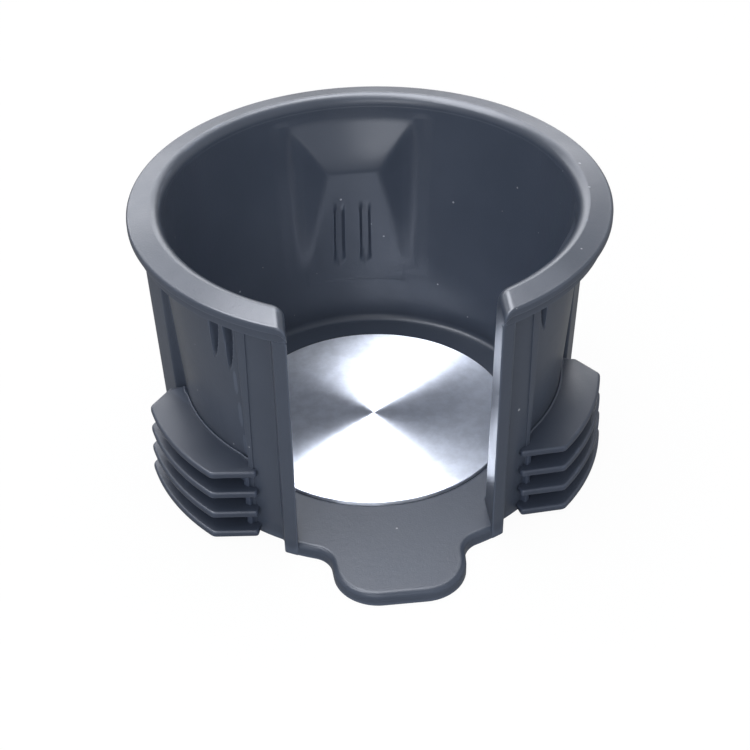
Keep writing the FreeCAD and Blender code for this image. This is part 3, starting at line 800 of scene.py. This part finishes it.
def floor_outline(opening):
    """The floor plate's plan: a tongue at the front, and elsewhere a circle buried in the wall."""
    reach, half_tip, half_root, nose, root = 54.6, 12.3, 14.0, 8.8, 4.6
    edge, begin = 43.3, -30.0
    side = Vector((half_tip - half_root, -reach - begin)).normalized()
    out = Vector((-side.y, side.x))
    start = Vector((half_root, begin))
    inner_line = start - out * nose
    nose_centre = inner_line + side * ((nose - reach - inner_line.y) / side.y)
    outer_line = start + out * root
    away = edge + root
    along = -outer_line.dot(side) + math.sqrt(outer_line.dot(side) ** 2 - outer_line.dot(outer_line) + away ** 2)
    root_centre = outer_line + side * along

    def bend(centre, first, last, count):
        a = math.atan2(first.y - centre.y, first.x - centre.x)
        b = math.atan2(last.y - centre.y, last.x - centre.x)
        if b - a > math.pi:
            b -= 2 * math.pi
        if a - b > math.pi:
            b += 2 * math.pi
        radius = (first - centre).length
        return [centre + radius * Vector((math.cos(a + (b - a) * k / count), math.sin(a + (b - a) * k / count)))
                for k in range(count + 1)]

    stop = opening + 1.3
    floor_end = Vector((stop, -math.sqrt(edge ** 2 - stop ** 2)))
    meet = root_centre * (edge / away)
    tip = Vector((nose_centre.x, -reach))
    half = bend(nose_centre, tip, nose_centre + out * nose, 22)
    half += bend(root_centre, root_centre - out * root, meet, 16)
    half += bend(Vector((0, 0)), meet, floor_end, 8)[1:]
    buried = 36.4
    first = math.degrees(math.asin(stop / buried))
    half += [at_angle(buried, first + (180 - first) * k / 60) for k in range(60)]
    back = [at_angle(buried, 180)]
    other = [Vector((-p.x, p.y)) for p in reversed(half)]
    return half + back + other


def floor_plate(cup, material):
    """The floor with its tongue and the shallow seat for the disc."""
    outline = floor_outline(cup.opening / MM)
    rings = [[(p.x, p.y, z) for p in outline] for z in (0.01, 0.8)]
    fall = 1.1
    for k in range(7):
        t = math.pi / 2 * k / 6
        moved = inset_ring(outline, fall * (1 - math.cos(t)))
        rings.append([(p.x, p.y, FLOOR_TOP - fall + fall * math.sin(t)) for p in moved])
    rings.append([(p.x, p.y, FLOOR_TOP) for p in inset_ring(outline, fall + 0.2)])
    outwards = [Vector((p.x, p.y)).normalized() for p in outline]
    seat, bottom = SEAT_RADIUS, FLOOR_TOP - SEAT_DEPTH
    for radius, z in ((seat + 0.45, FLOOR_TOP), (seat + 0.25, FLOOR_TOP), (seat + 0.05, FLOOR_TOP - 0.1),
                      (seat, bottom), (seat - 1.4, bottom)):
        rings.append([(d.x * radius, d.y * radius, z) for d in outwards])
    return stacked("floor", rings, material)


def skin_hollow(side):
    """The hollow under one skin panel, as a block to cut away."""
    rings = []
    start, span, steps = SKIN_FULL - 1.0, 48.0, 40
    for z in (-1.0, HOLLOW_TOP):
        inner, outer = wall_radius(z), grow(*SKIN, z) - SKIN_THICKNESS
        ring_points = [at_angle(outer, start + span * k / steps) for k in range(steps + 1)]
        ring_points += [at_angle(inner, start + span - span * k / steps) for k in range(steps + 1)]
        rings.append([(p.x * side, p.y, z) for p in ring_points])
    return tidy(stacked("hollow", rings, bpy.data.materials["Cup plastic"]))


# The fins

FIN_RADIUS, FIN_INNER, FIN_TOP, FIN_BOTTOM = 47.5, 38.75, 17.0, 0.9
FIN_FAR_ANGLE = 84.6
FIN_TURN = -0.6
WEB_BOTTOM, WEB_TOP = 1.2, 16.2


def fin_outline(radius, turn):
    """The plan of one right-hand fin, anticlockwise from its near end."""
    near_in, near_out = Vector((25.9, -33.2)), Vector((34.6, -32.4)).normalized() * radius
    far_out, far_in = Vector((46.3, -9.6)).normalized() * radius, Vector((42.4, -3.9))

    def angle(p):
        return math.degrees(math.atan2(p.x, -p.y))

    near_wall = at_angle(FIN_INNER, angle(near_in) + 2.2)
    far_wall = at_angle(FIN_INNER, FIN_FAR_ANGLE)
    parts = [
        line(near_in, near_out, 10), arc(radius, angle(near_out), angle(far_out), 46), line(far_out, far_in, 10),
        line(far_in, far_wall, 4), arc(FIN_INNER, FIN_FAR_ANGLE, angle(near_wall), 30), line(near_wall, near_in, 4),
    ]
    points = closed_curve(parts, [0.7, 0.7, 0.7, 0.2, 0.2, 0.6], 4)
    rotate = Matrix.Rotation(math.radians(turn), 2)
    return [rotate @ p for p in points]


def fin_stack_tree():
    """A node tree that repeats one fin downwards, each a little wider than the one above."""
    name = "Fin stack"
    if name in bpy.data.node_groups:
        return bpy.data.node_groups[name]
    tree = bpy.data.node_groups.new(name, "GeometryNodeTree")
    for label, kind in (("Geometry", "NodeSocketGeometry"), ("Count", "NodeSocketInt"), ("Pitch", "NodeSocketFloat"),
                        ("Growth", "NodeSocketFloat"), ("Material", "NodeSocketMaterial")):
        tree.interface.new_socket(label, in_out="INPUT", socket_type=kind)
    tree.interface.new_socket("Geometry", in_out="OUTPUT", socket_type="NodeSocketGeometry")
    put = node(tree, "NodeGroupInput", (-800, 0))
    out = node(tree, "NodeGroupOutput", (800, 0))
    drop = node(tree, "ShaderNodeCombineXYZ", (-600, -200))
    feed(tree, drop.inputs["Z"], maths(tree, "MULTIPLY", put.outputs["Pitch"], -1.0))
    row = node(tree, "GeometryNodeMeshLine", (-400, 0), mode="OFFSET")
    feed(tree, row.inputs["Count"], put.outputs["Count"])
    feed(tree, row.inputs["Offset"], drop.outputs[0])
    index = node(tree, "GeometryNodeInputIndex", (-600, -400))
    size = maths(tree, "MULTIPLY_ADD", index.outputs[0], put.outputs["Growth"], 1.0)
    scale = node(tree, "ShaderNodeCombineXYZ", (-200, -300))
    feed(tree, scale.inputs["X"], size)
    feed(tree, scale.inputs["Y"], size)
    scale.inputs["Z"].default_value = 1.0
    placed = node(tree, "GeometryNodeInstanceOnPoints", (0, 0))
    feed(tree, placed.inputs["Points"], row.outputs[0])
    feed(tree, placed.inputs["Instance"], put.outputs["Geometry"])
    feed(tree, placed.inputs["Scale"], scale.outputs[0])
    real = node(tree, "GeometryNodeRealizeInstances", (200, 0))
    feed(tree, real.inputs[0], placed.outputs[0])
    painted = node(tree, "GeometryNodeSetMaterial", (400, 0))
    feed(tree, painted.inputs["Geometry"], real.outputs[0])
    feed(tree, painted.inputs["Material"], put.outputs["Material"])
    feed(tree, out.inputs[0], painted.outputs[0])
    return tree


def repeat_fins(piece, fins, material):
    """Runs the fin stack on a fin and keeps its result as a plain mesh."""
    tree = fin_stack_tree()
    modifier = piece.modifiers.new("stack", "NODES")
    modifier.node_group = tree
    values = {"Count": fins.count, "Pitch": fins.pitch, "Growth": fins.growth, "Material": material}
    for item in tree.interface.items_tree:
        if item.item_type == "SOCKET" and item.in_out == "INPUT" and item.name in values:
            modifier[item.identifier] = values[item.name]
    evaluated = piece.evaluated_get(bpy.context.evaluated_depsgraph_get())
    mesh = bpy.data.meshes.new_from_object(evaluated)
    piece.modifiers.remove(modifier)
    old, piece.data = piece.data, mesh
    bpy.data.meshes.remove(old)
    return piece


def fin_back(material):
    """The block's back against the cup wall, with a thin raised bead along its top inner edge."""
    start, end, steps = 42.3, FIN_FAR_ANGLE, 70
    gap, thick, bead = 0.15, 2.15, 0.25
    base = FIN_TOP + 0.05
    rings = []
    for k in range(steps + 1):
        a = start + (end - start) * k / steps
        r = wall_radius(FIN_TOP) + 0.02 + 0.3 * ease((47.0 - a) / 2.5) + 0.3 * ease((a - 79.5) / 2.5)
        profile = [(wall_radius(z) + gap, z) for z in (FIN_BOTTOM, 8.0, 16.0)]
        profile += [(r, FIN_TOP - 0.4), (r, base)]
        profile += [(r + bead - bead * math.cos(t), base + bead * math.sin(t)) for t in (0.6, 1.2, 1.8, 2.4, 3.0)]
        profile += [(r + 0.55, FIN_TOP - 0.1), (r + 1.6, FIN_TOP - 0.4)]
        profile += [(wall_radius(z) + thick, z) for z in (9.0, FIN_BOTTOM)]
        rings.append([(*at_angle(radius, a), z) for radius, z in profile])
    return stacked("back", rings, material)


def fin_web(angle, inner, outer, turn, material):
    """An upright web that ties the fins together."""
    along = at_angle(1.0, angle)
    half_thickness = 0.65
    across = Vector((-along.y, along.x)) * half_thickness
    corners = [along * inner - across, along * outer - across, along * outer + across, along * inner + across]
    parts = [line(corners[i], corners[(i + 1) % 4], 3) for i in range(4)]
    rotate = Matrix.Rotation(math.radians(turn), 2)
    points = [rotate @ p for p in closed_curve(parts, [0.3] * 4)]
    return stacked("web", [[(p.x, p.y, z) for p in points] for z in (WEB_BOTTOM, WEB_TOP)], material)


def fin_block(name, side, fins, material):
    """One fin block. The left one is made as a right one and mirrored."""
    turn = FIN_TURN * side
    bottom = FIN_TOP - fins.thickness / MM
    plate = rounded_plate("fin", fin_outline(FIN_RADIUS, turn), bottom, FIN_TOP, 0.35, 0.5, material)
    repeat_fins(plate, fins, material)
    webs = [fin_web(angle, inner, outer, turn, material)
            for angle, inner, outer in ((42.0, 39.4, 41.8), (82.0, 40.0, 42.4))]
    block = joined(name, [plate, fin_back(material), *webs])
    if side < 0:
        block.data.transform(Matrix.Diagonal((-1, 1, 1, 1)))
    return tidy(block)


def lathe(name, profile, count, material):
    """Turns a closed outline of (radius, height) points round the cup axis."""
    rings = [[(r * math.cos(2 * math.pi * k / count), r * math.sin(2 * math.pi * k / count), z) for k in range(count)]
             for r, z in profile]
    return stacked(name, rings, material)


# Operators

class MakeCup(bpy.types.Operator):
    """Build the moulded cup with its rim, posts, pads and tongue"""
    bl_idname = "cup_holder.make_cup"
    bl_label = "Cup body"

    def execute(self, context):
        cup = context.scene.cup_holder_cup
        material = plastic("Cup plastic", cup.colour, cup.roughness, 0.00007, 0.24, floor_gloss=0.24)
        wall = tidy(cup_wall(cup, material))
        wall = cut(wall, [skin_hollow(1), skin_hollow(-1)])
        wall = joined("cup_body_shell", [wall, tidy(floor_plate(cup, material))])
        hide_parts("cup_body")
        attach(wall, "root")
        return {"FINISHED"}


class MakeDisc(bpy.types.Operator):
    """Build the turned metal disc in the floor"""
    bl_idname = "cup_holder.make_disc"
    bl_label = "Base disc"

    def execute(self, context):
        settings = context.scene.cup_holder_disc
        material = spun_metal("Turned aluminium", settings.colour, settings.roughness)
        radius, thick = settings.radius / MM, settings.thickness / MM
        top, soft = FLOOR_TOP + DISC_PROUD, 0.18
        profile = [(radius - 0.1, top - thick), (radius, top - thick + 0.1)]
        profile += [(radius - soft + soft * math.cos(t), top - soft + soft * math.sin(t))
                    for t in (0.0, 0.4, 0.8, 1.2, math.pi / 2)]
        profile += [(radius - 1.0, top), (radius * 0.66, top), (radius * 0.33, top), (1.0, top)]
        disc = tidy(lathe("base_disc_turned", profile, 180, material))
        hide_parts("base_disc")
        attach(disc, "root")
        return {"FINISHED"}


class MakeFins(bpy.types.Operator):
    """Build the soft fin blocks at both sides"""
    bl_idname = "cup_holder.make_fins"
    bl_label = "Fin blocks"

    def execute(self, context):
        fins = context.scene.cup_holder_fins
        material = plastic("Fin rubber", fins.colour, fins.roughness, 0.00006, 0.34)
        for side, name in ((1, "right"), (-1, "left")):
            block = fin_block("fins_" + name, side, fins, material)
            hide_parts("fin_block_" + name)
            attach(block, "root")
        return {"FINISHED"}


class MakeStudio(bpy.types.Operator):
    """Set up the floor, the lamps, the sky and the camera"""
    bl_idname = "cup_holder.make_studio"
    bl_label = "Studio"

    def execute(self, context):
        studio = context.scene.cup_holder_studio
        scene = context.scene
        scene.view_settings.view_transform = "Standard"
        self.floor(scene)
        self.sky(scene, studio.sky)
        lamp(scene, "overhead lamp", (-0.1, 0.05, 0.85), (0, 0, 0.03), 0.8, 0.6, studio.key)
        back = lamp(scene, "back lamp", (-0.15, 0.98, 0.51), (0, 0, 0.05), 1.4, 0.34, studio.back)
        lamp(scene, "front lamp", (-0.3, -0.85, 0.62), (0, 0, 0.03), 0.7, 0.5, studio.fill)
        strip = lamp(scene, "glint lamp", (-0.2, 0.22, 0.83), (0, 0, 0.03), 1.1, 0.46, studio.glint)
        back.visible_diffuse = strip.visible_diffuse = False
        camera(scene)
        return {"FINISHED"}

    def floor(self, scene):
        material, tree, shader, _ = start_material("Studio floor")
        shader.inputs["Base Color"].default_value = (0.9, 0.9, 0.9, 1)
        shader.inputs["Roughness"].default_value = 0.9
        light = node(tree, "ShaderNodeEmission")
        mix = node(tree, "ShaderNodeMixShader")
        path = node(tree, "ShaderNodeLightPath")
        feed(tree, light.inputs["Strength"], maths(tree, "MAXIMUM", path.outputs["Is Camera Ray"], 0.25))
        seen = maths(tree, "MULTIPLY", path.outputs["Is Camera Ray"], 0.95)
        seen = maths(tree, "MAXIMUM", seen, path.outputs["Is Transmission Ray"])
        feed(tree, mix.inputs[0], maths(tree, "MAXIMUM", seen, path.outputs["Is Glossy Ray"]))
        tree.links.new(shader.outputs[0], mix.inputs[1])
        tree.links.new(light.outputs[0], mix.inputs[2])
        tree.links.new(mix.outputs[0], tree.nodes["Material Output"].inputs["Surface"])
        half, level = 3000.0, -0.02
        corners = [(x * half, y * half, level) for x, y in ((-1, -1), (1, -1), (1, 1), (-1, 1))]
        floor = mesh_object("studio_floor", corners, [(0, 1, 2, 3)], material)

    def sky(self, scene, strength):
        world = bpy.data.worlds.new("Studio sky")
        scene.world = world
        world.use_nodes = True
        tree = world.node_tree
        back = tree.nodes["Background"]
        back.inputs["Color"].default_value = (1, 1, 1, 1)
        path = node(tree, "ShaderNodeLightPath")
        seen = maths(tree, "MAXIMUM", path.outputs["Is Camera Ray"], path.outputs["Is Transmission Ray"])
        feed(tree, back.inputs["Strength"], maths(tree, "MAXIMUM", seen, strength))


LAMP_COLOUR = (0.92, 0.94, 1.0)


def lamp(scene, name, place, aim, width, depth, power):
    """A soft rectangular lamp that looks at a point."""
    data = bpy.data.lights.new(name, "AREA")
    data.shape = "RECTANGLE"
    data.size = width
    data.size_y = depth
    data.energy = power
    data.color = LAMP_COLOUR
    made = bpy.data.objects.new(name, data)
    made.location = place
    made.rotation_euler = (Vector(aim) - Vector(place)).to_track_quat("-Z", "Y").to_euler()
    scene.collection.objects.link(made)
    return made


# The photograph's view. Its focal length is in the photograph's own pixels
VIEW_AZIMUTH, VIEW_LIFT, VIEW_ROLL = -5.6, 36.98, -1.14
VIEW_DISTANCE, AIM_RIGHT, AIM_HEIGHT = 331.1, 0.397, 13.38
FOCAL_PIXELS, PHOTO_PIXELS, SENSOR = 1562.6, 750, 36.0


def camera(scene):
    """The camera of the photograph, turned about the point that it looks at."""
    azimuth, lift, roll = (math.radians(a) for a in (VIEW_AZIMUTH, VIEW_LIFT, VIEW_ROLL))
    aim = Vector((AIM_RIGHT * math.cos(azimuth), AIM_RIGHT * math.sin(azimuth), AIM_HEIGHT)) * MM
    back = Vector((math.sin(azimuth) * math.cos(lift), -math.cos(azimuth) * math.cos(lift), math.sin(lift)))
    flat_right = Vector((math.cos(azimuth), math.sin(azimuth), 0))
    flat_up = back.cross(flat_right)
    right = flat_right * math.cos(roll) + flat_up * math.sin(roll)
    up = back.cross(right)
    data = bpy.data.cameras.new("camera")
    data.sensor_width = SENSOR
    data.lens = SENSOR * FOCAL_PIXELS / PHOTO_PIXELS
    data.clip_start = 0.01
    data.clip_end = 20.0
    made = bpy.data.objects.new("camera", data)
    turn = Matrix((right, up, back)).transposed().to_4x4()
    made.matrix_world = Matrix.Translation(aim + back * VIEW_DISTANCE * MM) @ turn
    scene.collection.objects.link(made)
    scene.camera = made


class CupHolderPanel(bpy.types.Panel):
    bl_idname = "VIEW3D_PT_cup_holder"
    bl_label = "Cup holder"
    bl_space_type = "VIEW_3D"
    bl_region_type = "UI"
    bl_category = "Cup holder"

    def draw(self, context):
        layout = self.layout
        for operator, settings in STEPS:
            layout.operator(operator.bl_idname)
            holder = getattr(context.scene, settings)
            for key in type(holder).__annotations__:
                layout.prop(holder, key)


STEPS = (
    (MakeCup, "cup_holder_cup"), (MakeDisc, "cup_holder_disc"),
    (MakeFins, "cup_holder_fins"), (MakeStudio, "cup_holder_studio"),
)
SETTINGS = (CupSettings, DiscSettings, FinSettings, StudioSettings)


def register():
    for (operator, name), settings in zip(STEPS, SETTINGS):
        bpy.utils.register_class(settings)
        bpy.utils.register_class(operator)
        setattr(bpy.types.Scene, name, bpy.props.PointerProperty(type=settings))
    bpy.utils.register_class(CupHolderPanel)


def unregister():
    bpy.utils.unregister_class(CupHolderPanel)
    for (operator, name), settings in zip(STEPS, SETTINGS):
        delattr(bpy.types.Scene, name)
        bpy.utils.unregister_class(operator)
        bpy.utils.unregister_class(settings)


def main():
    register()
    bpy.ops.cup_holder.make_cup()
    bpy.ops.cup_holder.make_disc()
    bpy.ops.cup_holder.make_fins()
    bpy.ops.cup_holder.make_studio()


if __name__ == "__main__":
    main()
